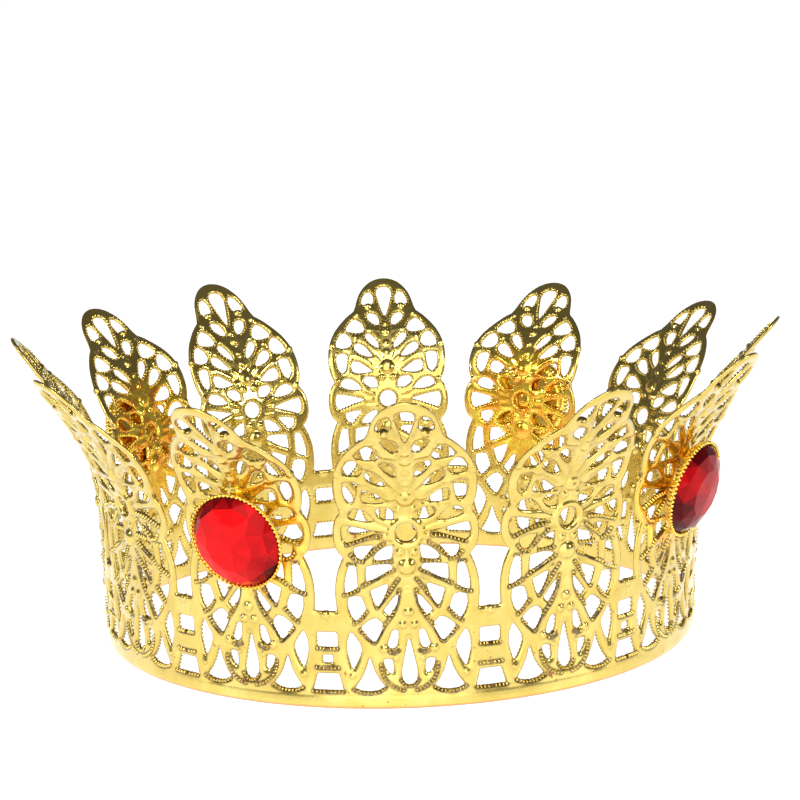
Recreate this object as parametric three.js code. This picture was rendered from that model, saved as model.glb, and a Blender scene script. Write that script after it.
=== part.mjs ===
// A beauty-pageant style crown: twelve pierced leaf panels set edge to edge in a ring, curling
// outwards at the top, with four round red stones in milled cups on every third panel.
// Millimetres, +Z up. The origin is the middle of the crown's bounding box, in the plane that it
// stands on; the ring's axis is just beside it, because the tips are bent out unevenly. Panel 1
// faces -Y.
import * as THREE from 'three';
import { mergeVertices } from 'three/addons/utils/BufferGeometryUtils.js';
import { TessellateModifier } from 'three/addons/modifiers/TessellateModifier.js';

const PANELS = 12;
const BASE_RADIUS = 76.4;        // middle of the sheet at the bottom edge
const PITCH = 2 * Math.PI * BASE_RADIUS / PANELS;
const SHEET = 1.0;               // thickness of the pressed sheet
const SEAM = 0.3;                // soldered seam between two panels
const FACET = 16;               // longest edge left in the bent sheet
const START_ANGLE = 1.45 * Math.PI / 180;
const AXIS = [-1.0, -2.4];       // where the ring's axis stands, from the origin

const STONE_RADIUS = 11.8;
const STONE_CROWN = 3.9;         // height of the stone above its girdle
const STONE_TABLE = 4.6;         // radius of the flat facet in the middle
const CUP_DEPTH = 2.8;
const CUP_RADIUS = 12.6;
const CUP_BACK_RADIUS = 10.4;
const CUP_WALL = 0.5;

// Lean of the sheet from upright, in degrees, at heights measured along the sheet.
const LEAN = [[0, -10], [20, 4], [42, 4], [66, 42], [90, 46]];
// The ring is not quite round: it is wider at its left and right, and a little more on the right.
// Distance along the sheet, then millimetres added at both sides, then those more on the right.
const SIDES = [[0, 1, 0], [17, 2.5, 0], [38, 1, 2], [90, 1, 2]];
// Each panel is bent a little more or less than the others: its lean above the bridges and above
// the ring hole in degrees, its slant to one side, and its twist in degrees.
const PANEL_BEND = [
  [0, -5, 0, 0], [0, -2, 0, 0], [0, -3, 0, 7], [0, -2, 0, 12], [19, -10, 0.15, 3], [0, 10, 0.03, 2],
  [2, 5, 0, 0], [8, -9, 0, 0], [15, -9, -0.25, 5], [5, -12, 0, -4], [7, -10, 0, 0], [0, 0, 0, 0]];
const LOW = [20, 24], HIGH = [44, 20], TWIST = [24, 40];   // from, over

// Cups: panel, height and distance of the back's centre from the axis, downward tilt in degrees,
// shift along the ring, and turn to one side in degrees.
const CUPS = [[11, 41.8, 79.2, 12, 0.4, 0], [2, 43.8, 82.1, 14, 0, 3.5], [5, 43.6, 79.8, 12, 0.6, 1.3],
  [8, 43.0, 82.8, 24, -4.8, 2.5]];

// Right half of a panel's edge, from the end of its bridge up to the tip: (across, along).
const EDGE = [[17.2, 24.3], [17.4, 28.5], [16.9, 33.2], [15.2, 37.8], [17.1, 40.3], [17.5, 43.4],
  [17.1, 46.6], [15.5, 49.4], [16.8, 52.4], [17.2, 56.5], [16.7, 60.8], [15.0, 65.6], [12.4, 69.4],
  [9.3, 72.7], [8.2, 76.6], [7.2, 79.7], [5.3, 83.0], [2.9, 85.0], [0, 85.6]];

// Pierced cells of the right half; each is repeated on the left.
const CELLS = [
  [[9.7, 12.4], [8.6, 8.8], [6.3, 5.4], [9.8, 4.4], [13.3, 5.2], [10.8, 8.8]],
  [[14.2, 18.8], [12.2, 16.4], [11.6, 14.4], [13.9, 9.7], [15.1, 14.4]],
  [[6.4, 20.6], [7.8, 22.4], [9.3, 22.2], [11.4, 20.0], [8.7, 16.6]],
  [[11.2, 27.9], [14.3, 27.5], [14.2, 24.4], [12.7, 21.9], [10.2, 24.4]],
  [[12.3, 35.6], [13.7, 35.6], [15.1, 28.6], [12.0, 30.1]],
  [[4.0, 35.9], [9.6, 35.6], [9.8, 31.8]],
  [[4.5, 30.9], [8.9, 29.3], [7.6, 25.4]],
  [[7.9, 40.8], [12.6, 40.1], [11.9, 37.6], [10.4, 37.3]],
  [[3.3, 40.6], [5.4, 40.2], [7.8, 37.5], [3.9, 37.3]],
  [[7.6, 44.1], [14.5, 45.6], [15.1, 42.0]],
  [[7.6, 47.2], [10.6, 50.0], [13.5, 49.0]],
  [[3.0, 47.5], [3.6, 50.3], [7.0, 50.0]],
  [[4.4, 52.1], [8.4, 55.2], [10.4, 54.6], [10.0, 52.0]],
  [[4.1, 56.6], [7.0, 60.8], [9.3, 60.4], [8.4, 57.8]],
  [[2.2, 59.3], [4.0, 64.0], [6.0, 63.8]],
  [[12.4, 52.2], [11.5, 57.2], [14.6, 57.7], [14.6, 53.8]],
  [[10.1, 61.0], [12.1, 64.9], [14.3, 63.0], [14.6, 59.9]],
  [[6.2, 65.5], [8.8, 69.9], [11.7, 66.3], [9.0, 64.6]],
  [[1.8, 67.6], [2.8, 71.5], [5.2, 71.4]],
  [[3.3, 78.2], [4.4, 80.2], [6.6, 77.4], [6.5, 75.2], [4.0, 75.2]],
];
const DROP_LOW = [[0, 17.4], [-1.2, 12], [-1.8, 8.4], [0, 5.9], [1.8, 8.4], [1.2, 12]];
const DROP_TOP = [[0, 70.4], [-2.2, 78.8], [-1.4, 81.9], [1.4, 81.9], [2.2, 78.8]];
const RING_HOLE = { y: 44, radius: 2.4 };

// The half bridge that meets the next panel: from the bottom edge up to the bridge's top, with
// the halves of the windows that two neighbours share. One kind has a small square window more.
function bridge(square) {
  const seam = PITCH / 2 - SEAM / 2;
  const points = [[5, 0], [10, 0], [15, 0], [seam, 0], [seam, 4.2], [16.3, 4.5], [17.4, 8.4],
    [seam, 8.4]];
  if (square) points.push([seam, 11.2], [18.8, 11.2], [18.8, 13], [seam, 13]);
  points.push([seam, 15.1], [17.5, 15.1], [17.5, 18.7], [seam, 18.7], [seam, 24.1]);
  return points;
}

const mirrored = (points) => points.map(([x, y]) => [-x, y]);
const path = (points) => new THREE.Path(points.map(([x, y]) => new THREE.Vector2(x, y)));

function panelShape(squareRight) {
  const right = [...bridge(squareRight), ...EDGE];
  const left = mirrored([...bridge(!squareRight), ...EDGE.slice(0, -1)]).reverse();
  const shape = new THREE.Shape([...right, ...left].map(([x, y]) => new THREE.Vector2(x, y)));
  for (const cell of CELLS) shape.holes.push(path(cell), path(mirrored(cell)));
  const ring = [];
  for (let i = 0; i < 8; i++) {
    const a = (i + 0.5) * Math.PI / 4;
    ring.push([RING_HOLE.radius * Math.cos(a), RING_HOLE.y + RING_HOLE.radius * Math.sin(a)]);
  }
  shape.holes.push(path(DROP_LOW), path(DROP_TOP), path(ring));
  return shape;
}

// Value of a table at a distance along the sheet, and a smooth share of a bend made over a length.
function at(table, along, column = 1) {
  let i = 1;
  while (i < table.length - 1 && table[i][0] < along) i++;
  const [a, b] = [table[i - 1], table[i]];
  const t = THREE.MathUtils.clamp((along - a[0]) / (b[0] - a[0]), 0, 1);
  return a[column] + (b[column] - a[column]) * t;
}
const share = (along, [from, over]) => THREE.MathUtils.smoothstep(along, from, from + over);

function leanAt(along, [low, high]) {
  return THREE.MathUtils.degToRad(at(LEAN, along) + low * share(along, LOW)
    + high * share(along, HIGH));
}

// Walks up the sheet's centre line and gives radius, height and lean at any distance along it.
function centreLine(bend) {
  const step = 0.25, points = [[BASE_RADIUS, 0]];
  for (let s = 0; s < 92; s += step) {
    const lean = leanAt(s + step / 2, bend), [r, z] = points.at(-1);
    points.push([r + step * Math.sin(lean), z + step * Math.cos(lean)]);
  }
  return (along) => {
    const k = along / step, i = Math.floor(k), [a, b] = [points[i], points[i + 1]];
    return [a[0] + (b[0] - a[0]) * (k - i), a[1] + (b[1] - a[1]) * (k - i), leanAt(along, bend)];
  };
}

function panelGeometry(squareRight, bend, turn) {
  const flat = new THREE.ExtrudeGeometry(panelShape(squareRight),
    { depth: SHEET, bevelEnabled: false });
  const fine = new TessellateModifier(FACET, 6).modify(flat);
  const line = centreLine(bend), p = fine.attributes.position;
  const [, , slant, twist] = bend;
  for (let i = 0; i < p.count; i++) {
    const along = p.getY(i), tau = THREE.MathUtils.degToRad(twist * share(along, TWIST));
    const x = p.getX(i) + slant * Math.max(along - TWIST[0], 0), w = p.getZ(i) - SHEET / 2;
    const across = x * Math.cos(tau) - w * Math.sin(tau);
    const out = w * Math.cos(tau) + x * Math.sin(tau);
    const [r, z, lean] = line(along);
    const angle = across / Math.max(r, BASE_RADIUS), side = Math.sin(turn + angle);
    const radius = r + out * Math.cos(lean)
      + side ** 2 * (at(SIDES, along, 1) + (side > 0 ? at(SIDES, along, 2) : 0));
    const height = along < 1e-6 ? 0 : z - out * Math.sin(lean);
    p.setXYZ(i, radius * Math.sin(angle), -radius * Math.cos(angle), height);
  }
  fine.deleteAttribute('normal');
  fine.deleteAttribute('uv');
  const whole = mergeVertices(fine, 1e-4);
  whole.computeVertexNormals();
  return whole;
}

// Shallow cup with a flat back and a flared wall, turned about its own +Z, which points outwards.
function cupGeometry() {
  const profile = [[0, 0], [CUP_BACK_RADIUS, 0], [CUP_RADIUS, 1.2], [CUP_RADIUS, CUP_DEPTH],
    [CUP_RADIUS - CUP_WALL, CUP_DEPTH], [CUP_RADIUS - CUP_WALL, 1.4],
    [CUP_BACK_RADIUS - 0.3, CUP_WALL], [0, CUP_WALL]];
  return turned(profile, 24);
}

// Stone with a flat back, a girdle, two rows of facets and a table.
function stoneGeometry() {
  const profile = [[0, 0], [CUP_BACK_RADIUS - 1.2, 0], [STONE_RADIUS, 1.2], [STONE_RADIUS, 1.8],
    [8.6, 1.8 + STONE_CROWN * 0.68], [STONE_TABLE, 1.8 + STONE_CROWN], [0, 1.8 + STONE_CROWN]];
  return turned(profile, 16);
}

function turned(profile, sides) {
  const lathe = new THREE.LatheGeometry(profile.map(([x, y]) => new THREE.Vector2(x, y)), sides);
  lathe.rotateX(Math.PI / 2);
  lathe.deleteAttribute('normal');
  lathe.deleteAttribute('uv');
  const whole = mergeVertices(lathe, 1e-4);
  // The first and last profile points lie on the axis, so their rings close to a point.
  const index = [];
  for (let i = 0; i < whole.index.count; i += 3) {
    const [a, b, c] = [0, 1, 2].map((j) => whole.index.getX(i + j));
    if (a !== b && b !== c && c !== a) index.push(a, b, c);
  }
  whole.setIndex(index);
  whole.computeVertexNormals();
  return whole;
}

const gold = new THREE.MeshStandardMaterial({ color: 0xd8b85a, roughness: 0.3, metalness: 1 });
const cupGold = new THREE.MeshStandardMaterial({ color: 0xe2b23c, roughness: 0.15, metalness: 1 });
const red = new THREE.MeshStandardMaterial({ color: 0xc8101c, roughness: 0.05, metalness: 0 });

const crown = new THREE.Group();
crown.name = 'crown';
crown.position.set(AXIS[0], AXIS[1], 0);

for (let k = 0; k < PANELS; k++) {
  const turn = START_ANGLE + k * 2 * Math.PI / PANELS;
  const panel = new THREE.Mesh(panelGeometry(k % 2 === 1, PANEL_BEND[k], turn), gold);
  panel.name = `panel_${String(k + 1).padStart(2, '0')}`;
  panel.rotation.z = turn;
  crown.add(panel);
}

CUPS.forEach(([k, height, radius, tilt, shift, turn], i) => {
  const station = new THREE.Group();
  station.rotation.z = START_ANGLE + k * 2 * Math.PI / PANELS + shift / BASE_RADIUS;
  const seat = new THREE.Group();
  seat.position.set(0, -radius, height);
  seat.rotation.order = 'ZXY';
  seat.rotation.x = Math.PI / 2 + THREE.MathUtils.degToRad(tilt);
  seat.rotation.z = -THREE.MathUtils.degToRad(turn);
  const cup = new THREE.Mesh(cupGeometry(), cupGold);
  cup.name = `cup_${i + 1}`;
  const stone = new THREE.Mesh(stoneGeometry(), red);
  stone.name = `stone_${i + 1}`;
  stone.position.z = CUP_WALL + 0.3;
  seat.add(cup, stone);
  station.add(seat);
  crown.add(station);
});

export default crown;
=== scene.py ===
"""Crown of twelve pierced gold leaf panels with four red stones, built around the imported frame."""
import math

import bpy
import numpy as np
from mathutils import Matrix, Vector


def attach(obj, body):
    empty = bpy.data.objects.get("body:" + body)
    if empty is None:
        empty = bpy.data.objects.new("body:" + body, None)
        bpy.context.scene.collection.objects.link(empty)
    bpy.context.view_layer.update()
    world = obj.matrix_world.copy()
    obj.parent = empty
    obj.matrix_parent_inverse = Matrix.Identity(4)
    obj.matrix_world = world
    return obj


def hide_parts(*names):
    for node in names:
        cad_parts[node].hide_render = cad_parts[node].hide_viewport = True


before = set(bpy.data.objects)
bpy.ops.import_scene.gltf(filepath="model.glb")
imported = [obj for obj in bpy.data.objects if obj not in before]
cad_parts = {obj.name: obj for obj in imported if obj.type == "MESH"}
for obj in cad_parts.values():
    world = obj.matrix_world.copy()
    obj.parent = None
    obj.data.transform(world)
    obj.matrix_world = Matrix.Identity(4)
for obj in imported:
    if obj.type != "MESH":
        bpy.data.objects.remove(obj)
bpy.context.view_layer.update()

MM = 0.001
PANELS = 12
AXIS = np.array([-1.0, -2.4])          # the ring's axis, mm from the origin
START = math.radians(1.45)
STEP = 2 * math.pi / PANELS
RADIUS = 76.4                          # middle of the sheet at the lower edge
HALF = 20.0                            # half a panel's pitch along the sheet

# Lean of the sheet from upright (degrees) at distances measured along it.
LEAN = np.array([[0, -10], [20, 4], [42, 4], [66, 42], [90, 46]], float)
# The ring is a little oval: distance along the sheet, mm added at both sides, more on the right.
SIDES = np.array([[0, 1, 0], [17, 2.5, 0], [38, 1, 2], [90, 1, 2]], float)
# Each panel's own bend: lean above the bridges and above the ring hole (degrees), slant to one
# side, and twist (degrees).
PANEL_BEND = [
    (0, -5, 0, 0), (0, -2, 0, 0), (0, -3, 0, 7), (0, -2, 0, 12), (19, -10, 0.15, 3),
    (0, 10, 0.03, 2), (2, 5, 0, 0), (8, -9, 0, 0), (15, -9, -0.25, 5), (5, -12, 0, -4),
    (7, -10, 0, 0), (0, 0, 0, 0)]
LOW, HIGH, TWIST = (20, 24), (44, 20), (24, 40)      # from, over
# Cups: panel, height, distance of the back from the axis, tilt down, shift along the ring, turn.
CUPS = [(11, 41.8, 79.2, 12, 0.4, 0), (2, 43.8, 82.1, 14, 0, 3.5), (5, 43.6, 79.8, 12, 0.6, 1.3),
        (8, 43.0, 82.8, 24, -4.8, 2.5)]

# ---------------------------------------------------------------- the pierced pattern, in mm
# The right half of a panel; (across, along the sheet).
LOBES = [
    [(17.2, 24.3), (17.45, 27.5), (17.3, 31.0), (16.7, 34.0), (15.9, 36.2), (15.2, 37.8)],
    [(15.2, 37.8), (16.4, 39.1), (17.2, 41.0), (17.5, 43.4), (17.3, 45.8), (16.6, 47.9),
     (15.5, 49.4)],
    [(15.5, 49.4), (16.4, 51.2), (17.0, 53.6), (17.2, 56.5), (17.0, 59.5), (16.3, 62.5),
     (15.0, 65.6), (13.2, 68.4), (11.2, 70.9), (9.3, 72.7)],
    [(9.3, 72.7), (8.7, 74.4), (8.2, 76.6), (7.4, 79.3), (6.1, 81.8), (4.2, 84.0),
     (2.1, 85.2), (0, 85.6)],
]
CELLS = {
    "bell": [(9.65, 12.6), (9.2, 11.0), (8.5, 8.9), (7.3, 6.8), (6.1, 5.4), (7.6, 4.6),
             (9.7, 4.3), (11.9, 4.5), (13.3, 5.1), (12.0, 6.8), (10.8, 9.0), (10.1, 11.0)],
    "leaf": [(14.1, 19.0), (12.9, 17.4), (11.8, 15.6), (11.6, 14.3), (12.3, 12.3),
             (13.2, 10.6), (13.9, 9.6), (14.5, 11.5), (15.1, 14.0), (15.0, 16.5)],
    "pentagon": [(6.3, 21.0), (7.7, 22.4), (9.2, 22.0), (11.4, 20.2), (11.2, 19.3),
                 (9.6, 17.4), (8.5, 16.4), (7.8, 17.0), (6.4, 19.7)],
    "low_outer": [(11.2, 27.8), (12.6, 28.0), (14.3, 27.5), (14.4, 25.2), (13.7, 23.0),
                  (12.7, 21.7), (11.6, 22.6), (10.2, 24.5), (10.4, 25.6)],
    "high_outer": [(12.2, 35.6), (13.7, 35.7), (14.5, 33.5), (15.0, 31.0), (15.0, 28.8),
                   (13.5, 29.3), (12.0, 30.2), (12.1, 33.0)],
    "upper": [(3.9, 35.9), (6.5, 35.9), (9.6, 35.5), (9.8, 33.5), (9.8, 31.6), (7.5, 32.6),
              (5.4, 33.8), (3.4, 34.9)],
    "middle": [(4.6, 30.9), (5.3, 30.9), (8.9, 29.4), (8.6, 28.2), (8.0, 26.2), (7.4, 25.3),
               (6.5, 26.3), (5.4, 28.4)],
    "inner": [(2.3, 28.5), (3.4, 27.5), (5.9, 24.3), (4.6, 22.9), (3.7, 24.2), (2.7, 26.0)],
    "small_up": [(2.6, 19.2), (3.4, 19.5), (4.0, 18.9), (4.7, 17.0), (5.2, 15.6), (4.4, 14.8),
                 (3.5, 14.7), (2.9, 15.8), (2.6, 17.5)],
    "small_low": [(4.2, 11.9), (5.3, 12.1), (6.3, 11.9), (5.9, 10.2), (5.0, 8.7), (4.2, 8.5),
                  (3.9, 9.5)],
    "ear_low": [(7.9, 40.7), (10.0, 40.7), (12.5, 40.1), (12.4, 38.9), (11.8, 37.7),
                (10.6, 37.2), (9.6, 38.4)],
    "ear_in": [(3.4, 40.7), (5.2, 40.2), (6.7, 39.2), (7.9, 37.6), (7.2, 37.0), (5.5, 37.1),
               (3.7, 37.4), (3.4, 39.0)],
    "ear": [(7.0, 43.9), (10.0, 44.8), (12.5, 45.4), (15.0, 45.8), (15.4, 44.0), (15.1, 42.2),
            (14.3, 41.4), (12.0, 42.2), (9.5, 43.1)],
    "ear_up": [(7.4, 46.9), (8.6, 48.6), (10.4, 50.0), (12.3, 50.3), (13.6, 49.4), (13.8, 48.2),
               (12.3, 47.3), (10.0, 46.8)],
    "ear_top": [(2.9, 47.3), (3.0, 49.2), (4.0, 50.4), (6.4, 50.6), (7.2, 49.6), (6.6, 48.4),
                (5.0, 47.3)],
    "fan_1": [(4.2, 52.1), (6.0, 53.6), (8.2, 55.2), (10.0, 55.4), (10.6, 54.0), (10.2, 52.2),
              (8.5, 51.6), (6.0, 51.7)],
    "fan_2": [(3.9, 56.4), (4.6, 57.6), (6.3, 60.0), (8.0, 61.2), (9.4, 60.7), (9.4, 59.0),
              (8.0, 57.6), (6.0, 56.7)],
    "fan_3": [(2.1, 59.0), (2.3, 60.8), (3.4, 62.9), (4.6, 64.4), (5.9, 64.3), (6.0, 62.8),
              (5.0, 61.2), (3.5, 59.8)],
    "rim_1": [(11.4, 57.3), (12.6, 58.1), (14.6, 57.7), (14.9, 55.5), (14.4, 53.2), (13.2, 51.7),
              (12.1, 52.6), (11.6, 54.8)],
    "rim_2": [(10.0, 61.0), (10.5, 63.2), (12.0, 65.0), (13.4, 64.5), (14.6, 62.2), (14.8, 60.2),
              (13.0, 59.5), (11.0, 59.8)],
    "rim_3": [(6.1, 65.9), (7.0, 68.4), (8.9, 70.0), (10.3, 68.9), (11.7, 66.7), (11.5, 65.3),
              (8.6, 64.6), (6.8, 64.8)],
    "rim_4": [(1.7, 67.6), (1.8, 69.6), (2.7, 71.5), (4.5, 72.2), (5.4, 71.3), (5.0, 69.4),
              (3.5, 67.7), (2.4, 67.2)],
    "eye": [(3.3, 76.0), (3.2, 78.4), (4.2, 80.4), (5.6, 79.8), (6.6, 77.6), (6.8, 75.6),
            (5.6, 74.8), (4.0, 75.0)],
}
DROPS = [
    [(0, 17.5), (-0.45, 15.5), (-1.0, 13.0), (-1.55, 10.5), (-1.85, 8.6), (-1.6, 6.9),
     (-0.8, 6.0), (0, 5.8), (0.8, 6.0), (1.6, 6.9), (1.85, 8.6), (1.55, 10.5), (1.0, 13.0),
     (0.45, 15.5)],
    [(0, 70.2), (-0.8, 72.6), (-1.6, 76.0), (-2.3, 79.2), (-2.0, 81.2), (-1.1, 82.1),
     (0, 82.3), (1.1, 82.1), (2.0, 81.2), (2.3, 79.2), (1.6, 76.0), (0.8, 72.6)],
]
RING_HOLE = (0.0, 44.0, 2.35)
WINDOWS = [  # shared with the next panel, so they run past the seam
    [(17.5, 15.1), (22.5, 15.1), (22.5, 18.7), (17.5, 18.7)],
    [(16.3, 4.5), (23.7, 4.5), (22.6, 8.4), (17.4, 8.4)],
]
SQUARE = [(18.8, 11.2), (21.2, 11.2), (21.2, 13.0), (18.8, 13.0)]

SHEET = 1.0
EDGE_HALF = 0.14         # half of the thin wall left at a cut edge
EDGE_ROUND = 1.0         # how far in from a cut edge the face is rounded
GRID = 0.36              # spacing of the grid that the sheet is meshed on
REACH = 2.6              # how far from a cell its edge can matter
FAN_FOOT = 46            # the fan begins here, along the sheet
LOW_CELL_GROW = 0.10     # the cells below the fan are cut a little wider
RING_MIDDLE, RING_HALF, RING_HEIGHT = 3.3, 1.0, 0.55       # the raised ring round the hole
DOME_BASE = 0.42         # a bead's foot above the middle of the sheet
BOSS_PIN = (0, 53.4)     # pin prick in the upper boss

# Pressed beads: across, along, radius, height on the outer face, on the inner face, mirrored.
DOMES = [
    (0, 35.5, 2.15, 1.55, 0.9, 0), (0, 53.2, 2.1, 1.15, 0.9, 0), (0, 64.7, 1.25, 1.05, 0.8, 0),
    (0, 67.5, 1.05, 0.60, 0.6, 0), (0, 60.8, 0.80, 0.50, 0.5, 0), (0, 57.6, 1.10, 0.60, 0.6, 0),
    (0, 24.1, 1.15, 0.95, 0.6, 0), (1.45, 20.9, 1.0, 0.9, 0.5, 1), (0, 17.6, 0.6, 0.35, 0.3, 0),
    (3.2, 14.5, 0.85, 0.8, 0.4, 1), (6.1, 14.8, 0.95, 0.9, 0.4, 1), (3.3, 12.3, 0.6, 0.5, 0.3, 1),
    (1.65, 39.2, 1.0, 0.9, 0.6, 1), (1.7, 50.2, 0.95, 0.65, 0.7, 1), (4.9, 74.4, 1.1, 0.60, 0.8, 1),
    (8.2, 71.4, 1.0, 0.50, 0.5, 1), (8.9, 62.9, 0.9, 0.50, 0.45, 1), (16.1, 60.6, 0.9, 0.45, 0.5, 1),
    (15.2, 49.4, 0.9, 0.45, 0.5, 1), (13.9, 8.1, 0.7, 0.55, 0.3, 1), (20, 23.3, 1.0, 0.75, 0.4, 1),
]
# Milled lines on the outer face of the right half.
MILLED = [
    [(3.2, 34.6), (6.5, 33.0), (10.6, 30.8)],
    [(2.2, 32.4), (4.8, 28.6), (7.4, 25.2)],
    [(2.0, 29.6), (2.7, 26.0), (4.0, 23.2), (6.0, 20.4), (8.4, 16.2)],
    [(8.8, 16.4), (10.2, 17.8), (11.7, 19.5)],
    [(9.9, 24.2), (11.6, 22.3), (13.0, 21.2)],
    [(11.8, 29.8), (13.5, 28.9), (15.2, 28.4)],
    [(10.4, 36.9), (12.0, 37.3), (13.2, 38.6)],
    [(9.6, 38.0), (7.6, 39.6), (5.4, 41.4)],
    [(3.7, 36.9), (5.6, 36.7), (7.6, 36.6)],
    [(14.2, 41.0), (12.0, 41.8), (9.3, 42.7), (6.0, 43.2)],
    [(6.0, 5.0), (7.7, 4.1), (9.8, 3.85), (11.9, 4.0), (13.6, 4.7)],
    [(16.3, 4.05), (18.2, 4.0), (20.0, 4.0)],
    [(17.5, 14.75), (18.8, 14.7), (20.0, 14.7)],
    [(17.2, 10.0), (18.6, 9.9), (20.0, 9.9)],
    [(0.3, 5.4), (1.2, 5.7), (2.1, 6.9)],
    [(6.9, 10.8), (6.5, 8.6), (5.5, 6.7), (3.6, 5.2), (1.6, 4.5)],
    [(12.5, 36.0), (13.8, 36.1)],
    [(2.6, 14.3), (3.6, 13.9), (4.6, 14.0)],
]
MILL_PITCH = 0.92
# Dents on the outer face: from, to, radius, depth (right half, mirrored).
DENTS = [
    [(2.7, 52.3), (4.6, 51.9), 0.8, 0.40], [(2.3, 55.0), (4.2, 56.6), 0.8, 0.40],
    [(1.2, 56.0), (2.2, 59.0), 0.7, 0.35], [(2.5, 51.6), (2.9, 49.4), 0.8, 0.35],
    [(4.7, 43.9), (7.4, 43.9), 0.7, 0.40], [(4.4, 45.5), (7.7, 47.0), 0.7, 0.35],
    [(1.5, 66.0), (2.3, 67.8), 0.7, 0.25], [(2.2, 65.0), (5.6, 65.7), 0.75, 0.22],
    [(4.9, 54.2), (8.8, 56.9), 0.7, 0.30], [(9.2, 56.9), (11.0, 57.1), 0.7, 0.20],
    [(7.7, 62.9), (9.6, 62.4), 0.7, 0.20], [(7.9, 50.9), (10.3, 51.2), 0.6, 0.22],
    [(2.2, 62.0), (3.2, 64.2), 0.7, 0.22], [(0.9, 69.4), (0.9, 71.4), 0.6, 0.22],
    [(1.7, 73.4), (3.2, 76.6), 0.7, 0.25], [(3.6, 33.1), (5.2, 32.0), 0.6, 0.30],
    [(3.6, 41.9), (6.0, 42.0), 0.6, 0.30], [(10.4, 23.2), (11.5, 21.2), 0.6, 0.30],
]


def fillet(points, radius=0.3, steps=3):
    out, n = [], len(points)
    for i in range(n):
        a, p, b = (np.array(points[j % n], float) for j in (i - 1, i, i + 1))
        la, lb = np.linalg.norm(a - p), np.linalg.norm(b - p)
        s = p + (a - p) * min(radius / la, 0.45)
        e = p + (b - p) * min(radius / lb, 0.45)
        for t in np.linspace(0, 1, steps + 1):
            out.append((1 - t) ** 2 * s + 2 * t * (1 - t) * p + t * t * e)
    return np.array(out)


def spline(points, steps=6):
    p = np.array(points, float)
    p = np.vstack([2 * p[0] - p[1], p, 2 * p[-1] - p[-2]])
    out = []
    for i in range(1, len(p) - 2):
        for t in np.arange(steps) / steps:
            out.append(0.5 * (2 * p[i] + (p[i + 1] - p[i - 1]) * t
                              + (2 * p[i - 1] - 5 * p[i] + 4 * p[i + 1] - p[i + 2]) * t ** 2
                              + (3 * p[i] - p[i - 1] - 3 * p[i + 1] + p[i + 2]) * t ** 3))
    out.append(p[-2])
    return np.array(out)


def mirrored(points):
    return np.array(points, float) * (-1, 1)


def outline():
    side = [np.array([(26.0, 0.0), (26.0, 24.1), (17.6, 24.1)])]
    side += [spline(lobe) for lobe in LOBES]
    right = np.vstack(side)
    return np.vstack([right, mirrored(right)[::-1][1:]])


def hole_loops():
    loops = []
    for cell in CELLS.values():
        loops += [fillet(cell), fillet(mirrored(cell))]
    loops += [fillet(d) for d in DROPS]
    for w in WINDOWS:
        loops += [fillet(w), fillet(mirrored(w))]
    loops.append(fillet(SQUARE))          # on the right only; other panels are mirrored
    x, y, r = RING_HOLE
    a = np.linspace(0, 2 * math.pi, 40, endpoint=False)
    loops.append(np.stack([x + r * np.cos(a), y + r * np.sin(a)], 1))
    return loops


def loop_distance(loop, pts):
    """Distance from points to a closed line, and whether each is inside it."""
    a, b = loop, np.roll(loop, -1, 0)
    best = np.full(len(pts), 1e9)
    inside = np.zeros(len(pts), bool)
    x, y = pts[:, 0], pts[:, 1]
    for (ax, ay), (bx, by) in zip(a, b):
        dx, dy = bx - ax, by - ay
        t = np.clip(((x - ax) * dx + (y - ay) * dy) / (dx * dx + dy * dy + 1e-12), 0, 1)
        best = np.minimum(best, (x - ax - t * dx) ** 2 + (y - ay - t * dy) ** 2)
        if ay != by:
            inside ^= ((ay > y) != (by > y)) & (x < dx * (y - ay) / dy + ax)
    return np.sqrt(best), inside


def metal_distance(pts):
    """Signed distance from points to the nearest cut edge, positive on metal."""
    d, inside = loop_distance(outline(), pts)
    solid = np.where(inside, d, -d)
    for loop in hole_loops():
        lo, hi = loop.min(0) - REACH, loop.max(0) + REACH
        near = ((pts >= lo) & (pts <= hi)).all(1)
        if not near.any():
            continue
        d, inside = loop_distance(loop, pts[near])
        grow = LOW_CELL_GROW if loop[:, 1].max() < FAN_FOOT else 0.0
        solid[near] = np.minimum(solid[near], np.where(inside, -d, d) - grow)
    return solid


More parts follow.
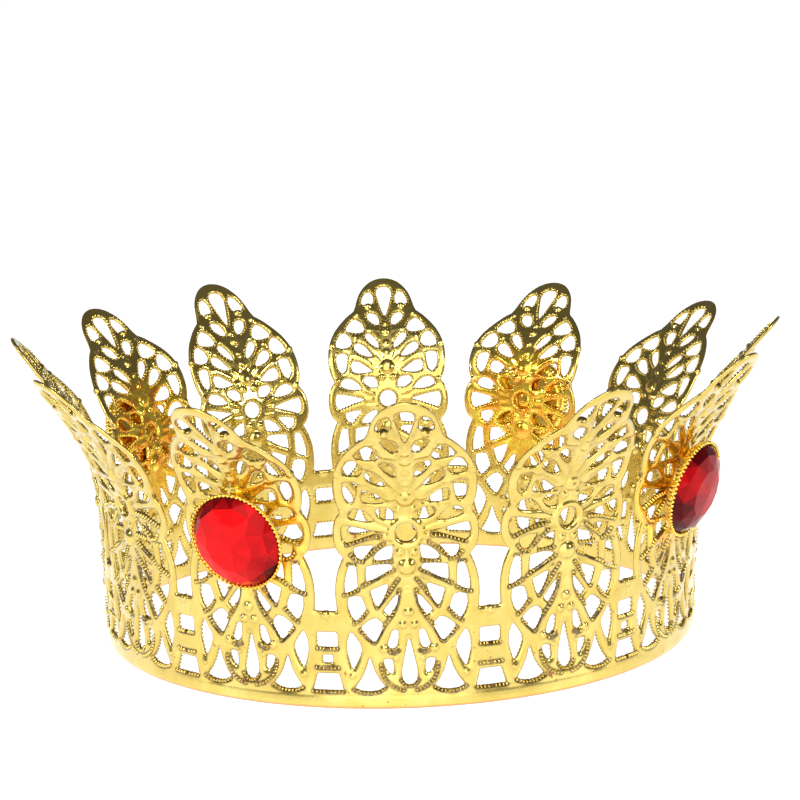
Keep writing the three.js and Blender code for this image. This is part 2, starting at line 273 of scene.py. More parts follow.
def relief(pts, solid):
    """Height of the outer and the inner face above the middle of the sheet."""
    x = np.clip(solid / EDGE_ROUND, 0, 1)
    curve = np.sqrt(1 - (1 - x) ** 2)
    face = EDGE_HALF + (SHEET / 2 - EDGE_HALF) * curve
    outer, inner = face.copy(), face.copy()
    # wider metal is a little crowned, so ribs read as rounded bars
    outer += 0.18 * np.clip(solid / 1.3, 0, 1)
    for (ax, ay), (bx, by), radius, depth in DENTS:
        dx, dy = bx - ax, by - ay
        x, y = np.abs(pts[:, 0]), pts[:, 1]
        t = np.clip(((x - ax) * dx + (y - ay) * dy) / (dx * dx + dy * dy), 0, 1)
        q = np.hypot(x - ax - t * dx, y - ay - t * dy) / radius
        dent = depth * np.clip(1 - q * q, 0, 1) ** 1.5
        outer -= dent
        inner += 0.5 * dent
    ring = np.hypot(pts[:, 0] - RING_HOLE[0], pts[:, 1] - RING_HOLE[1])
    torus = np.clip(1 - ((ring - RING_MIDDLE) / RING_HALF) ** 2, 0, 1)
    outer += RING_HEIGHT * np.sqrt(torus) * (solid > 0)
    for u, v, r, high, low, both in DOMES:
        for s in ((1, -1) if both else (1,)):
            q = np.hypot(pts[:, 0] - s * u, pts[:, 1] - v) / r
            dome = np.sqrt(np.clip(1 - q * q, 0, 1))
            outer = np.maximum(outer, np.where(q < 1, DOME_BASE + high * dome, 0))
            inner = np.maximum(inner, np.where(q < 1, DOME_BASE + low * dome, 0))
    # a pin prick in the upper boss, a crease under it, and two creases above the trio of beads
    pin = np.hypot(pts[:, 0] - BOSS_PIN[0], pts[:, 1] - BOSS_PIN[1])
    outer -= 0.5 * np.clip(1 - (pin / 0.45) ** 2, 0, 1)
    for v, r, h in ((53.2, 2.55, 0.22), (29.4, 1.5, 0.2), (28.2, 1.5, 0.2)):
        q = (np.hypot(pts[:, 0], pts[:, 1] - v) - r) / 0.3
        side = pts[:, 1] < v if r > 2 else pts[:, 1] > v
        outer -= h * np.clip(1 - q * q, 0, 1) * side
    # three shallow flutes at the top of each bridge, and a groove over the plain band
    span = np.abs(pts[:, 0])
    bridge = np.clip((span - 17.6) / 0.4, 0, 1) * np.clip((pts[:, 1] - 18.9) / 0.8, 0, 1) \
        * np.clip((23.4 - pts[:, 1]) / 1.5, 0, 1)
    outer -= 0.16 * bridge * (0.5 + 0.5 * np.cos((span - 20) * 2 * math.pi / 1.7))
    outer -= 0.08 * np.exp(-((pts[:, 1] - 3.1) / 0.25) ** 2)
    return outer, inner


def recesses(pts, solid):
    """Painted shade with some tarnish, 0 to 1: between milled teeth, in dents, round beads, at cut
    edges.
    """
    half = np.column_stack([np.abs(pts[:, 0]), pts[:, 1]])
    outer = 0.40 * np.clip(1 - solid / 0.65, 0, 1)
    inner = outer.copy()
    for line in MILLED:
        path = spline(line, 4)
        best = np.full(len(pts), 1e9)
        for a, b in zip(path[:-1], path[1:]):
            d = b - a
            t = np.clip((half - a) @ d / (d @ d), 0, 1)
            best = np.minimum(best, np.hypot(*(half - a - t[:, None] * d).T))
        outer = np.maximum(outer, np.clip((0.92 - best) / 0.3, 0, 1))
    for a, b, radius, _ in DENTS:
        a, b = np.array(a), np.array(b)
        t = np.clip((half - a) @ (b - a) / ((b - a) @ (b - a)), 0, 1)
        q = np.hypot(*(half - a - t[:, None] * (b - a)).T) / radius
        outer = np.maximum(outer, 0.5 * np.clip(1.3 - q, 0, 1))
    for u, v, r, *_ in DOMES:
        gap = np.hypot(half[:, 0] - u, half[:, 1] - v) - r
        rim = np.clip(1 - np.abs(gap - 0.15) / 0.35, 0, 1)
        outer = np.maximum(outer, rim * (0.72 if v < FAN_FOOT else 0.48))
        inner = np.maximum(inner, 0.4 * rim)
    pin = np.clip(1.3 - np.hypot(half[:, 0] - BOSS_PIN[0], half[:, 1] - BOSS_PIN[1]) / 0.6, 0, 1)
    return np.maximum(outer, pin), inner


def panel_sheet():
    """Points (across, along, out), faces and painted shade with some tarnish of one flat pierced panel,
    closed all round.
    """
    us = np.linspace(-HALF, HALF, int(round(2 * HALF / GRID)) + 1)
    vs = np.linspace(-GRID, 86.0, int(round(86.0 / GRID)) + 2)
    du, dv = us[1] - us[0], vs[1] - vs[0]
    U, V = np.meshgrid(us, vs, indexing="ij")
    nu, nv = U.shape
    pts = np.stack([U.ravel(), V.ravel()], 1)
    D = metal_distance(pts).reshape(nu, nv)
    gu, gv = np.gradient(D, du, dv)
    norm = np.hypot(gu, gv) + 1e-9
    # grid points close to an edge are moved onto it, so no sliver is left
    close = np.abs(D) < 0.33 * GRID
    close[0, :] = close[-1, :] = False
    shift_u, shift_v = -D * gu / norm ** 2, -D * gv / norm ** 2
    ok = close & (np.hypot(shift_u, shift_v) < 0.5 * GRID)
    P = pts.reshape(nu, nv, 2).copy()
    P[..., 0][ok] += shift_u[ok]
    P[..., 1][ok] += shift_v[ok]
    D = np.where(ok, 0.0, D)
    inside = D >= 0
    points = [tuple(p) for p in P.reshape(-1, 2)]
    cross = {}

    def edge_point(i, j):
        """The cut on the grid edge from inside point i to outside point j."""
        di, dj = D.flat[i], D.flat[j]
        if di <= 0:
            return i
        key = (min(i, j), max(i, j))
        if key not in cross:
            t = di / (di - dj)
            a, b = points[i], points[j]
            cross[key] = len(points)
            points.append((a[0] + (b[0] - a[0]) * t, a[1] + (b[1] - a[1]) * t))
        return cross[key]

    index = np.arange(nu * nv).reshape(nu, nv)
    corners = np.stack([index[:-1, :-1], index[1:, :-1], index[1:, 1:], index[:-1, 1:]], -1)
    corners = corners.reshape(-1, 4)
    ins = inside.ravel()[corners]
    count = ins.sum(1)
    faces = [tuple(c) for c in corners[count == 4]]
    for c, k in zip(corners[(count > 0) & (count < 4)], ins[(count > 0) & (count < 4)]):
        if k.sum() == 2 and k[0] == k[2]:        # two opposite corners: two triangles
            for a in range(4):
                if k[a]:
                    tri = [edge_point(c[a], c[a - 1]), c[a], edge_point(c[a], c[(a + 1) % 4])]
                    if len(set(tri)) == 3:
                        faces.append(tuple(tri))
            continue
        loop = []
        for a in range(4):
            b = (a + 1) % 4
            if k[a]:
                loop.append(c[a])
                if not k[b]:
                    loop.append(edge_point(c[a], c[b]))
            elif k[b]:
                loop.append(edge_point(c[b], c[a]))
        clean = [v for n, v in enumerate(loop) if v != loop[n - 1]]
        if len(set(clean)) == len(clean) and len(clean) > 2:
            faces.append(tuple(clean))
    flat = np.array(points)
    used = np.unique(np.concatenate([np.array(f) for f in faces]))
    renumber = np.full(len(flat), -1)
    renumber[used] = np.arange(len(used))
    flat = flat[used]
    faces = [tuple(int(renumber[v]) for v in f) for f in faces]
    solid = np.maximum(metal_distance(flat), 0)
    outer, inner = relief(flat, solid)
    shade_and_tarnish = np.concatenate(recesses(flat, solid))
    n = len(flat)
    top = np.column_stack([flat, outer])
    bottom = np.column_stack([flat, -inner])
    seen = {}
    for f in faces:
        for a, b in zip(f, f[1:] + f[:1]):
            seen[(a, b)] = True
    walls = [(b, a, a + n, b + n) for a, b in seen if (b, a) not in seen]
    points = np.vstack([top, bottom])
    # the ends that meet the next panels have edges of their own, so the sheet looks unbroken
    at_end = [abs(abs(points[w[0], 0]) - HALF) < 1e-6 and abs(abs(points[w[1], 0]) - HALF) < 1e-6
              for w in walls]
    ends = [w for w, e in zip(walls, at_end) if e]
    walls = [w for w, e in zip(walls, at_end) if not e]
    corners = [i for w in ends for i in w]
    extra = points[corners]
    shade_and_tarnish = np.concatenate([shade_and_tarnish, shade_and_tarnish[corners]])
    ends = [tuple(len(points) + 4 * j + c for c in range(4)) for j in range(len(ends))]
    points = np.vstack([points, extra])
    everything = faces + [tuple(v + n for v in reversed(f)) for f in faces] + walls + ends
    return points, everything, shade_and_tarnish


def resample(line, pitch, closed=False):
    line = np.array(line, float)
    if closed:
        line = np.vstack([line, line[:1]])
    step = np.hypot(*np.diff(line, axis=0).T)
    at = np.concatenate([[0], np.cumsum(step)])
    count = max(2, int(round(at[-1] / pitch)) + (0 if closed else 1))
    where = np.linspace(0, at[-1], count, endpoint=not closed)
    spots = np.stack([np.interp(where, at, line[:, i]) for i in (0, 1)], 1)
    seg = np.clip(np.searchsorted(at, where, side="right") - 1, 0, len(step) - 1)
    tangent = np.diff(line, axis=0)[seg] / np.maximum(step[seg], 1e-9)[:, None]
    return spots, tangent


def tooth_shape():
    """A blunt cone of eight sides: unit points and faces."""
    points, faces = [(0, 0, 1)], []
    for j, (r, h) in enumerate(((0.34, 0.86), (1.0, -0.1))):
        for i in range(8):
            a = 2 * math.pi * (i + 0.5 * j) / 8
            points.append((r * math.cos(a), r * math.sin(a), h))
    for i in range(8):
        k = (i + 1) % 8
        faces.append((0, 1 + i, 1 + k))
        faces.append((1 + i, 9 + i, 1 + k))
        faces.append((1 + k, 9 + i, 9 + k))
    return np.array(points), faces


def teeth():
    """Milled teeth: rows on the outer face, and round every cell on the inner face."""
    spots, along, side = [], [], []
    for line in MILLED:
        p, t = resample(spline(line, 8), MILL_PITCH)
        for s in (1, -1):
            spots.append(p * (s, 1))
            along.append(t * (s, 1))
            side.append(np.ones(len(p)))
    for loop in hole_loops():
        p, t = resample(loop, 0.98, closed=True)
        area = 0.5 * np.sum(loop[:, 0] * np.roll(loop[:, 1], -1) - np.roll(loop[:, 0], -1)
                            * loop[:, 1])
        out = np.stack([t[:, 1], -t[:, 0]], 1) * np.sign(area)
        spots.append(p + 0.42 * out)
        along.append(t)
        side.append(-np.ones(len(p)))
    spots, along, side = np.vstack(spots), np.vstack(along), np.concatenate(side)
    solid = metal_distance(spots)
    keep = (solid > 0.12) & (np.abs(spots[:, 0]) < HALF - 0.25) & (spots[:, 1] > 0.5)
    for u, v, r, _, _, both in DOMES:
        for s in ((1, -1) if both else (1,)):
            keep &= np.hypot(spots[:, 0] - s * u, spots[:, 1] - v) > r + 0.1
    spots, along, side = spots[keep], along[keep], side[keep]
    outer, inner = relief(spots, metal_distance(spots))
    base = np.where(side > 0, outer, -inner)
    unit, faces = tooth_shape()
    per_tooth = len(unit)
    grow = np.where(side > 0, 1.0, 0.72)           # smaller teeth on the inner face
    size = np.stack([0.32 * grow, 0.52 * grow, 0.66 * grow], 1)
    across = np.stack([-along[:, 1], along[:, 0]], 1)
    local = unit[None] * size[:, None]
    flat = spots[:, None] + local[..., :1] * along[:, None] + local[..., 1:2] * across[:, None]
    w = base[:, None] + side[:, None] * local[..., 2]
    points = np.concatenate([flat, w[..., None]], -1).reshape(-1, 3)
    all_faces = []
    # a tooth seen from its own side keeps its faces' order; mirrored ones are turned over
    hand = along[:, 0] * across[:, 1] - along[:, 1] * across[:, 0]
    for j in range(len(spots)):
        turn = hand[j] * side[j] < 0
        for f in faces:
            f = tuple(per_tooth * j + i for i in f)
            all_faces.append(tuple(reversed(f)) if turn else f)
    return points, all_faces


def ease(along, span):
    t = np.clip((along - span[0]) / span[1], 0, 1)
    return t * t * (3 - 2 * t)


def centre_line(bend):
    step = 0.25
    s = np.arange(0, 92, step)
    low, high = bend[:2]

    def lean_at(a):
        return np.radians(np.interp(a, LEAN[:, 0], LEAN[:, 1]) + low * ease(a, LOW)
                          + high * ease(a, HIGH))

    mid = lean_at(s + step / 2)
    r = RADIUS + np.concatenate([[0], np.cumsum(step * np.sin(mid))])
    z = np.concatenate([[0], np.cumsum(step * np.cos(mid))])
    at = np.arange(len(r)) * step
    return lambda a: (np.interp(a, at, r), np.interp(a, at, z), lean_at(a))


def bent(points, bend, turn):
    """Flat sheet points carried onto the ring: (across, along, out) in mm to places in metres."""
    u, v, w = points.T
    r, z, lean = centre_line(bend)(np.maximum(v, 0))
    slant, twist = bend[2:]
    u = u + slant * np.maximum(v - TWIST[0], 0)
    tau = np.radians(twist * ease(v, TWIST))
    u, w = u * np.cos(tau) - w * np.sin(tau), w * np.cos(tau) + u * np.sin(tau)
    angle = u / np.maximum(r, RADIUS) + turn
    side = np.sin(angle)
    radius = r + w * np.cos(lean) + side ** 2 * (
        np.interp(v, SIDES[:, 0], SIDES[:, 1]) + (side > 0) * np.interp(v, SIDES[:, 0], SIDES[:, 2]))
    foot = np.clip(v / 1.2, 0, 1)                  # the lower edge is cut level
    height = z - w * np.sin(lean) * foot
    out = np.stack([AXIS[0] + radius * np.sin(angle), AXIS[1] - radius * np.cos(angle), height], 1)
    return out * MM


def make_mesh(name, verts, faces, smooth=True):
    mesh = bpy.data.meshes.new(name)
    mesh.from_pydata([tuple(v) for v in verts], [], faces)
    mesh.update()
    if smooth:
        mesh.shade_smooth()
    obj = bpy.data.objects.new(name, mesh)
    bpy.context.scene.collection.objects.link(obj)
    return obj


flat_points, flat_faces, shade_and_tarnish = panel_sheet()
tooth_points, tooth_faces = teeth()
count = len(flat_points)
flat_points = np.vstack([flat_points, tooth_points])
# the teeth themselves get no painted shade
shade_and_tarnish = np.concatenate([shade_and_tarnish, np.zeros(len(tooth_points))])
# Painted reflection of the cups' gold on the panels round them, by distance from a point just under the
# ring hole; on the two front cups it is painted on one side only.
CUP_REFLECTION_MIDDLE, CUP_REFLECTION_REACH, CUP_REFLECTION_FADE = 43, 19.5, 6
amber = np.hypot(flat_points[:, 0], flat_points[:, 1] - CUP_REFLECTION_MIDDLE)
amber = np.clip((CUP_REFLECTION_REACH - amber) / CUP_REFLECTION_FADE, 0, 1)
CUP_REFLECTION_SIDE = {11: 1, 2: -1, 5: 0, 8: 0}
flat_faces = flat_faces + [tuple(i + count for i in f) for f in tooth_faces]
panels = []
for k in range(PANELS):
    pts = flat_points.copy()
    faces = flat_faces
    if k % 2 == 0:
        pts[:, 0] *= -1
        faces = [tuple(reversed(f)) for f in flat_faces]
    obj = make_mesh(f"filigree_{k + 1:02d}", bent(pts, PANEL_BEND[k], START + k * STEP), faces)
    # painted reflection of the cup on this panel
    tint = np.zeros(len(pts))
    if k in CUP_REFLECTION_SIDE:
        tint = amber * np.clip(0.5 + pts[:, 0] / CUP_REFLECTION_FADE * CUP_REFLECTION_SIDE[k] + (CUP_REFLECTION_SIDE[k] == 0), 0, 1)
    # the first attribute carries painted shade with some tarnish, the second the painted reflection of
    # the cup
    for label, values in (("shade_and_tarnish", shade_and_tarnish), ("amber", tint)):
        obj.data.attributes.new(label, "FLOAT", "POINT").data.foreach_set("value", values)
    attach(obj, "root")
    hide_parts(f"panel_{k + 1:02d}")
    panels.append(obj)


# ---------------------------------------------------------------- cups and stones
BEADS = 66


def cup_mesh():
    """Pressed cup about +Z in mm: flat back, flared milled wall, turned rim and a row of beads."""
    profile = [(0, 0.0), (5, 0.0), (9.9, 0.0), (10.6, 0.12), (11.2, 0.5), (11.7, 1.1), (12.05, 1.7),
               (12.2, 2.1), (12.3, 2.35), (12.2, 2.5), (12.0, 2.55), (11.8, 2.5), (11.65, 2.2),
               (11.2, 1.4), (10.2, 0.7), (0, 0.6)]
    sides = BEADS * 6
    verts, faces = [], []
    for j, (r, h) in enumerate(profile):
        if r == 0:
            verts.append([(0, 0, h)])
            continue
        ring = []
        for i in range(sides):
            a = 2 * math.pi * i / sides
            mill = 0.13 * math.cos(BEADS * a) if 3 <= j <= 8 else 0
            mill *= 1 if j < 8 else 0.5
            ring.append(((r + mill) * math.cos(a), (r + mill) * math.sin(a), h))
        verts.append(ring)
    start, flat = [], []
    for ring in verts:
        start.append(len(flat))
        flat += ring
    for j in range(len(verts) - 1):
        a, b = start[j], start[j + 1]
        na, nb = len(verts[j]), len(verts[j + 1])
        for i in range(sides):
            k = (i + 1) % sides
            if na == 1:
                faces.append((a, b + k, b + i))
            elif nb == 1:
                faces.append((b, a + i, a + k))
            else:
                faces.append((a + i, a + k, b + k, b + i))
    ball_v, ball_f = ball(0.47)
    for i in range(BEADS):
        a = 2 * math.pi * (i + 0.5) / BEADS
        at = len(flat)
        flat += [(x + 12.2 * math.cos(a), y + 12.2 * math.sin(a), z + 2.7) for x, y, z in ball_v]
        faces += [tuple(at + n for n in f) for f in ball_f]
    # the blob of solder that holds the cup against the ring of the panel
    at = len(flat)
    pad = [(3.3, 0.05), (3.0, -0.25), (2.5, -0.75), (1.9, -1.15), (1.0, -1.35)]
    for r, h in pad:
        flat += [((r + 0.15 * math.sin(3 * t + h)) * math.cos(t), (r + 0.15 * math.sin(3 * t + h))
                  * math.sin(t), h) for t in np.linspace(0, 2 * math.pi, 24, endpoint=False)]
    for j in range(len(pad) - 1):
        for i in range(24):
            k = (i + 1) % 24
            faces.append((at + 24 * j + i, at + 24 * j + 24 + i, at + 24 * j + 24 + k,
                          at + 24 * j + k))
    faces.append(tuple(at + 24 * (len(pad) - 1) + i for i in reversed(range(24))))
    faces.append(tuple(at + i for i in range(24)))
    return np.array(flat), faces


def ball(radius, sides=8, rings=5):
    verts, faces = [(0, 0, radius)], []
    for j in range(1, rings):
        t = math.pi * j / rings
        for i in range(sides):
            a = 2 * math.pi * i / sides
            verts.append((radius * math.sin(t) * math.cos(a), radius * math.sin(t) * math.sin(a),
                          radius * math.cos(t)))
    verts.append((0, 0, -radius))
    for i in range(sides):
        k = (i + 1) % sides
        faces.append((0, 1 + i, 1 + k))
        for j in range(rings - 2):
            a, b = 1 + j * sides, 1 + (j + 1) * sides
            faces.append((a + i, b + i, b + k, a + k))
        last = 1 + (rings - 2) * sides
        faces.append((len(verts) - 1, last + k, last + i))
    return verts, faces


def stone_mesh():
    """Round stone about +Z in mm: girdle, two rows of facets and a table; and each face's own offset of
    the painted light and shade.
    """
    n = 12
    rows = [(11.5, 1.2, 0.0, 24), (11.65, 1.8, 0.0, 24), (9.9, 3.85, 0.5, n), (6.3, 5.35, 0.0, n)]
    verts, start = [], []
    for r, h, shift, count in rows:
        start.append(len(verts))
        for i in range(count):
            a = 2 * math.pi * (i + shift) / count
            verts.append((r * math.cos(a), r * math.sin(a), h))
    faces, shade = [], []
    g0, g1, mid, table = start

    def add(face, facet_light):
        faces.append(face)
        shade.append(facet_light)

    for i in range(24):
        k = (i + 1) % 24
        add((g0 + i, g0 + k, g1 + k, g1 + i), -0.3)
    lower = [0.06, -0.05, 0.02, -0.08, 0.05, -0.02, 0.08, -0.06, 0.0, 0.04, -0.07, 0.03]
    upper = [0.03, -0.04, 0.05, 0.0, -0.03, 0.04, -0.05, 0.02, 0.05, -0.02, 0.0, -0.04]
    for i in range(n):
        k = (i + 1) % n
        h = (i - 1) % n
        # girdle points 2i, 2i+1, 2i+2 meet the middle point over 2i+1
        add((g1 + 2 * i, g1 + 2 * i + 1, mid + i), lower[i])
        add((g1 + 2 * i + 1, g1 + (2 * i + 2) % 24, mid + i), lower[(i + 5) % n])
        add((mid + h, g1 + 2 * i, mid + i), lower[(i + 3) % n])
        add((mid + h, mid + i, table + i), upper[i])
        add((table + i, mid + i, table + k), upper[(i + 7) % n])
    centre = len(verts)
    verts.append((0.6, -0.4, 5.75))
    for i in range(n):
        add((table + i, table + (i + 1) % n, centre), 0.02 * (i % 3))
    base = len(verts)
    verts.append((0, 0, 0.9))
    for i in range(24):
        add((base, g0 + (i + 1) % 24, g0 + i), 0.0)
    return np.array(verts), faces, shade


# Painted light and shade on each stone's facets, in place of its inner reflections: overall tone, then
# painted dark lobes by direction (degrees from the right, upwards), half width, depth at the rim, and
# share of that depth nearer the middle.
FACET_LIGHT_AND_SHADE = [
    (1.0, [(120, 52, 0.60, 0.12), (5, 45, 0.35, 0.7), (-52, 24, 0.50, 0.5)]),
    (0.66, [(92, 38, 0.60, 0.35), (222, 50, 0.42, 0.8), (-78, 14, 0.45, 0.1), (-58, 8, -0.3, 0)]),
    (0.9, [(60, 50, 0.6, 0.4), (200, 40, 0.4, 0.5)]),
    (0.9, [(100, 50, 0.6, 0.4), (-40, 40, 0.4, 0.5)]),
]


def paint_facet_light(stone, spin):
    """Each facet's painted light and shade, from where it lies on the stone."""
    level, lobes = FACET_LIGHT_AND_SHADE[stone]
    tones = []
    for face, own in zip(stone_faces, stone_shade):
        x, y, _ = np.mean([stone_points[i] for i in face], 0)
        angle = math.degrees(math.atan2(y, x) + spin)
        radius = math.hypot(x, y)
        facet_light = level * (1 + own)
        for at, width, depth, share in lobes:
            off = abs((angle - at + 180) % 360 - 180)
            reach = 1 if radius > 9.3 else share * min(radius / 8.5, 1)
            facet_light -= depth * reach * min(max((width + 12 - off) / 24, 0), 1)
        tones.append(max(facet_light, 0.12))
    return tones


def seated(points, cup, lift=0.0, spin=0.0):
    """Points about a cup's own +Z carried to its place on the crown, mm to metres."""
    k, height, radius, tilt, shift, turn = cup
    place = Matrix.Rotation(START + k * STEP + shift / RADIUS, 4, "Z") \
        @ Matrix.Translation((0, -radius, height)) @ Matrix.Rotation(-math.radians(turn), 4, "Z") \
        @ Matrix.Rotation(math.pi / 2 + math.radians(tilt), 4, "X") \
        @ Matrix.Translation((0, 0, lift)) @ Matrix.Rotation(spin, 4, "Z")
    place = np.array(place)
    p = points @ place[:3, :3].T + place[:3, 3] + (AXIS[0], AXIS[1], 0)
    return p * MM


cups, stones = [], []
cup_points, cup_faces = cup_mesh()
stone_points, stone_faces, stone_shade = stone_mesh()
for i, cup in enumerate(CUPS):
    obj = make_mesh(f"bezel_{i + 1}", seated(cup_points, cup), cup_faces)
    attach(obj, "root")
    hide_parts(f"cup_{i + 1}")
    cups.append(obj)
    spin = math.radians((7, 20, 60, 140)[i])
    obj = make_mesh(f"gem_{i + 1}", seated(stone_points, cup, 0.8, spin), stone_faces,
                    smooth=False)
    # each facet carries its painted light and shade
    facet_light = obj.data.attributes.new("facet_light", "FLOAT", "FACE")
    facet_light.data.foreach_set("value", paint_facet_light(i, spin))
    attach(obj, "root")
    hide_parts(f"stone_{i + 1}")
    stones.append(obj)


# ---------------------------------------------------------------- materials
class Nodes:
    """A small helper for node trees."""

    def __init__(self, name):
        self.mat = bpy.data.materials.new(name)
        self.mat.use_nodes = True
        self.tree = self.mat.node_tree
        self.bsdf = self.tree.nodes["Principled BSDF"]
        self.place = self.add("ShaderNodeTexCoord").outputs["Object"]

    def add(self, kind, **inputs):
        node = self.tree.nodes.new(kind)
        for key, value in inputs.items():
            self.set(node.inputs[key.replace("_", " ")], value)
        return node

    def set(self, socket, value):
        if isinstance(value, bpy.types.NodeSocket):
            self.tree.links.new(value, socket)
        else:
            socket.default_value = value

    def noise(self, scale, detail=3.0, rough=0.55):
        node = self.add("ShaderNodeTexNoise", Vector=self.place, Scale=scale, Detail=detail,
                        Roughness=rough)
        return node.outputs["Fac"]

    def band(self, value, low, high, out_low=0.0, out_high=1.0):
        node = self.add("ShaderNodeMapRange", Value=value)
        for n, v in zip(("From Min", "From Max", "To Min", "To Max"), (low, high, out_low, out_high)):
            node.inputs[n].default_value = v
        return node.outputs["Result"]

    def maths(self, op, a, b):
        node = self.tree.nodes.new("ShaderNodeMath")
        node.operation = op
        self.set(node.inputs[0], a)
        self.set(node.inputs[1], b)
        return node.outputs[0]

    def mix(self, fac, a, b):
        node = self.tree.nodes.new("ShaderNodeMix")
        node.data_type = "RGBA"
        self.set(node.inputs[0], fac)
        self.set(node.inputs[6], a)
        self.set(node.inputs[7], b)
        return node.outputs[2]

    def attribute(self, name):
        node = self.tree.nodes.new("ShaderNodeAttribute")
        node.attribute_name = name
        return node.outputs["Fac"]

    def height(self):
        split = self.add("ShaderNodeSeparateXYZ", Vector=self.place)
        return split.outputs["Z"]

    def bump(self, height, strength, distance):
        node = self.add("ShaderNodeBump", Height=height, Strength=strength, Distance=distance)
        self.set(self.bsdf.inputs["Normal"], node.outputs["Normal"])

    def shader(self, **inputs):
        for key, value in inputs.items():
            self.set(self.bsdf.inputs[key.replace("_", " ")], value)


def plated(name, pale, deep, rough, specks_and_painted_light):
    """Bright gold plating over pressed sheet: cloudy colour, fine grain, and a few rust specks; on the
    panels also painted shade with some tarnish in recesses, and painted reflection of the cups.
    """
    m = Nodes(name)
    clouds = m.band(m.noise(140.0, 4.0), 0.35, 0.65)
    colour = m.mix(clouds, pale, deep)
    grain = m.noise(2600.0, 2.0)
    shine = m.maths("ADD", m.band(m.noise(420.0, 3.0), 0.3, 0.7, rough, rough + 0.10),
                    m.band(grain, 0.3, 0.7, 0.0, 0.05))
    if specks_and_painted_light:
        shade_and_tarnish, amber = (m.attribute(n) for n in ("shade_and_tarnish", "amber"))
        spots = m.band(m.noise(800.0, 3.0), 0.35, 0.6, 0.7, 1.0)
        shade_and_tarnish = m.maths("MULTIPLY", shade_and_tarnish, spots)
        # painted reflection of the cup's gold, mottled orange to yellow
        reflected_cup_gold = m.mix(m.band(m.noise(330.0, 3.0), 0.38, 0.62), (1.0, 0.42, 0.015, 1),
                        (1.0, 0.76, 0.05, 1))
        colour = m.mix(amber, colour, reflected_cup_gold)
        # painted shade with some tarnish in the recesses: brown, then near black where deepest
        colour = m.mix(m.band(shade_and_tarnish, 0.0, 0.5, 0.0, 0.6), colour, (0.50, 0.34, 0.055, 1))
        colour = m.mix(m.band(shade_and_tarnish, 0.45, 0.95, 0.0, 0.92), colour, (0.06, 0.033, 0.008, 1))
        shine = m.maths("ADD", shine, m.maths("MULTIPLY", shade_and_tarnish, 0.15))
        z = m.height()
        low = m.band(z, 0.030, 0.006)
        dots = m.band(m.noise(520.0, 2.0, 0.4), 0.70, 0.74)
        dots = m.maths("MULTIPLY", dots, low)
        colour = m.mix(dots, colour, (0.42, 0.13, 0.03, 1))
        edge = m.band(z, 0.0007, 0.0002)            # copper-red on the cut foot, the lowest 0.7 mm of the sheet
        colour = m.mix(m.maths("MULTIPLY", edge, 0.8), colour, (0.62, 0.22, 0.08, 1))
        shine = m.maths("ADD", shine, m.maths("MULTIPLY", dots, 0.3))
    # a little less metallic where the cup's reflection is painted
    m.shader(Base_Color=colour, Roughness=shine,
             Metallic=m.band(amber, 0, 1, 1.0, 0.86) if specks_and_painted_light else 1.0)
    m.bsdf.inputs["Coat Weight"].default_value = 0.85
    m.bsdf.inputs["Coat IOR"].default_value = 1.6
    m.bsdf.inputs["Coat Roughness"].default_value = 0.14
    m.bump(m.maths("ADD", m.maths("MULTIPLY", grain, 0.35), m.noise(900.0, 3.0)), 0.16, 0.00012)
    return m.mat


gold = plated("panel_gold", (0.77, 0.60, 0.145, 1), (0.69, 0.50, 0.08, 1), 0.12, True)
# the cups' gold is painted brighter and more orange than the panels', standing in for light bounced
# between cup and panel
cup_gold = plated("cup_gold", (1.0, 0.74, 0.12, 1), (1.0, 0.60, 0.03, 1), 0.10, False)

m = Nodes("stone_red")
# painted light and shade of the facets, from near black red to bright red
depth = m.maths("MULTIPLY", m.attribute("facet_light"), m.band(m.noise(170.0, 3.0), 0.3, 0.7, 0.86, 1.06))
colour = m.mix(m.band(depth, 0.25, 1.0), (0.07, 0.001, 0.003, 1), (0.82, 0.006, 0.008, 1))
colour = m.mix(m.band(m.noise(420.0, 2.0), 0.62, 0.72, 0.0, 0.06), colour, (0.95, 0.05, 0.04, 1))
m.shader(Base_Color=colour, Roughness=m.band(m.noise(600.0, 2.0), 0.3, 0.7, 0.04, 0.10))
m.bsdf.inputs["IOR"].default_value = 1.22
m.bsdf.inputs["Specular IOR Level"].default_value = 0.4
red = m.mat

for obj in panels:
    obj.data.materials.append(gold)
for obj in cups:
    obj.data.materials.append(cup_gold)
for obj in stones:
    obj.data.materials.append(red)
for name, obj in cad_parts.items():
    obj.data.materials.clear()
    obj.data.materials.append(
        cup_gold if name.startswith("cup") else red if name.startswith("stone") else gold)

# ---------------------------------------------------------------- stage
floor_mesh = bpy.data.meshes.new("floor")
FLOOR = 8.0              # half the floor's side, in metres
floor_mesh.from_pydata([(-FLOOR, -FLOOR, 0), (FLOOR, -FLOOR, 0), (FLOOR, FLOOR, 0),
                        (-FLOOR, FLOOR, 0)], [], [(0, 1, 2, 3)])
floor = bpy.data.objects.new("floor", floor_mesh)
bpy.context.scene.collection.objects.link(floor)
m = Nodes("light_table")
tint = m.mix(m.noise(3.0), (0.54, 0.54, 0.54, 1), (0.56, 0.56, 0.56, 1))
m.shader(Base_Color=tint, Roughness=0.45)
m.bsdf.inputs["Emission Color"].default_value = (1, 1, 1, 1)
m.bsdf.inputs["Emission Strength"].default_value = 0.90
floor_mesh.materials.append(m.mat)

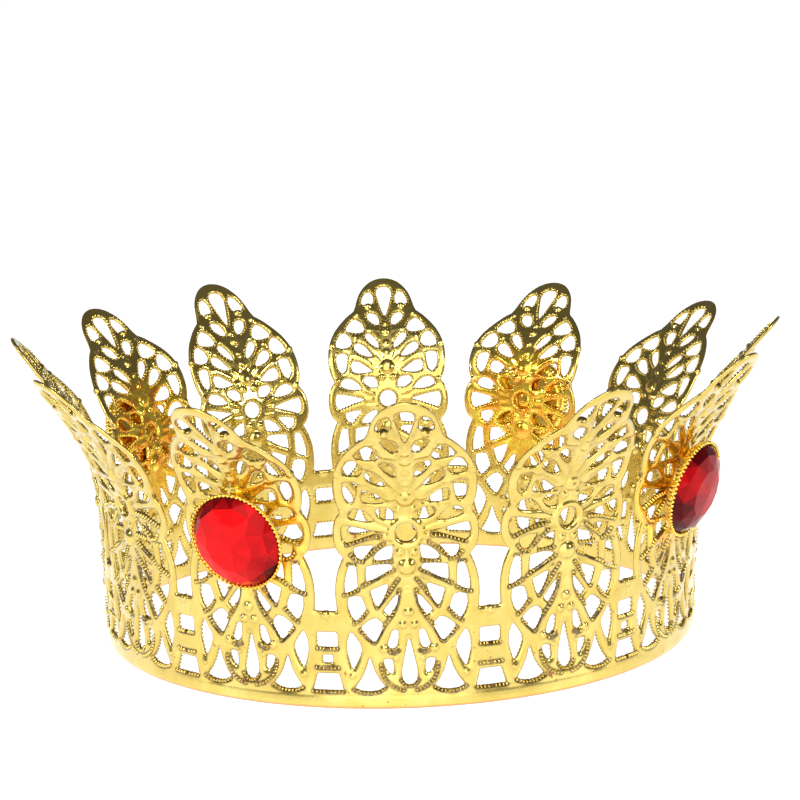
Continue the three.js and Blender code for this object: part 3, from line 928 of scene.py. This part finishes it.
# White low down all round, dim overhead and behind, so bent metal shows light and dark.
world = bpy.data.worlds.new("studio")
bpy.context.scene.world = world
world.use_nodes = True
wt = world.node_tree
coord = wt.nodes.new("ShaderNodeTexCoord")
split = wt.nodes.new("ShaderNodeSeparateXYZ")
wt.links.new(coord.outputs["Generated"], split.inputs[0])
ramp = wt.nodes.new("ShaderNodeValToRGB")
wt.links.new(split.outputs["Z"], ramp.inputs[0])
stops = [(0.0, 0.50), (0.12, 0.36), (0.28, 0.18), (0.50, 0.11), (0.85, 0.12), (1.0, 0.14)]
ramp.color_ramp.elements[0].position = 0.0
ramp.color_ramp.elements[1].position = 1.0
for at, level in stops[1:-1]:
    ramp.color_ramp.elements.new(at)
for element, (at, level) in zip(ramp.color_ramp.elements, stops):
    element.position = at
    element.color = (level, level, level, 1)
back = wt.nodes["Background"]
wt.links.new(ramp.outputs["Color"], back.inputs["Color"])
back.inputs["Strength"].default_value = 1.0


def softbox(name, place, target, width, height, power):
    light = bpy.data.lights.new(name, "AREA")
    light.shape = "RECTANGLE"
    light.size, light.size_y = width, height
    light.energy = power
    light.spread = math.pi
    obj = bpy.data.objects.new(name, light)
    obj.location = place
    obj.rotation_euler = (Vector(target) - Vector(place)).to_track_quat("-Z", "Y").to_euler()
    bpy.context.scene.collection.objects.link(obj)
    return obj


softbox("front_window", (-0.15, -1.34, 0.92), (0, 0, 0.05), 1.3, 1.5, 11.5)
softbox("front_low", (-0.05, -1.50, 0.17), (0, 0, 0.05), 1.6, 0.30, 2.3)
softbox("ceiling_panel", (0, -0.55, 1.6), (0, 0, 0.05), 1.0, 0.7, 0.9)
softbox("front_high", (0.12, -0.85, 1.25), (0, 0, 0.05), 0.30, 0.25, 3.0)
softbox("left_lamp", (-1.3, -0.5, 0.9), (0, 0, 0.05), 0.25, 0.25, 6.0)
softbox("right_lamp", (1.3, -0.6, 0.8), (0, 0, 0.05), 0.25, 0.25, 6.0)

scene = bpy.context.scene
scene.view_settings.view_transform = "Standard"

camera_data = bpy.data.cameras.new("camera")
camera_data.lens = 122.85
camera_data.sensor_width = 36.0
camera_data.clip_end = 50
camera = bpy.data.objects.new("camera", camera_data)
scene.collection.objects.link(camera)
elevation, roll = math.radians(11.892), math.radians(1.716)
forward = Vector((0, math.cos(elevation), -math.sin(elevation)))
right = Vector((1, 0, 0))
up = Vector((0, math.sin(elevation), math.cos(elevation)))
right_r = right * math.cos(roll) - up * math.sin(roll)
up_r = right * math.sin(roll) + up * math.cos(roll)
place = Vector(((AXIS[0] + 1.47) * MM, (AXIS[1] - 702.3) * MM, 207.4 * MM))
camera.matrix_world = Matrix((
    (right_r.x, up_r.x, -forward.x, place.x),
    (right_r.y, up_r.y, -forward.y, place.y),
    (right_r.z, up_r.z, -forward.z, place.z),
    (0, 0, 0, 1)))
scene.camera = camera

bpy.context.view_layer.update()
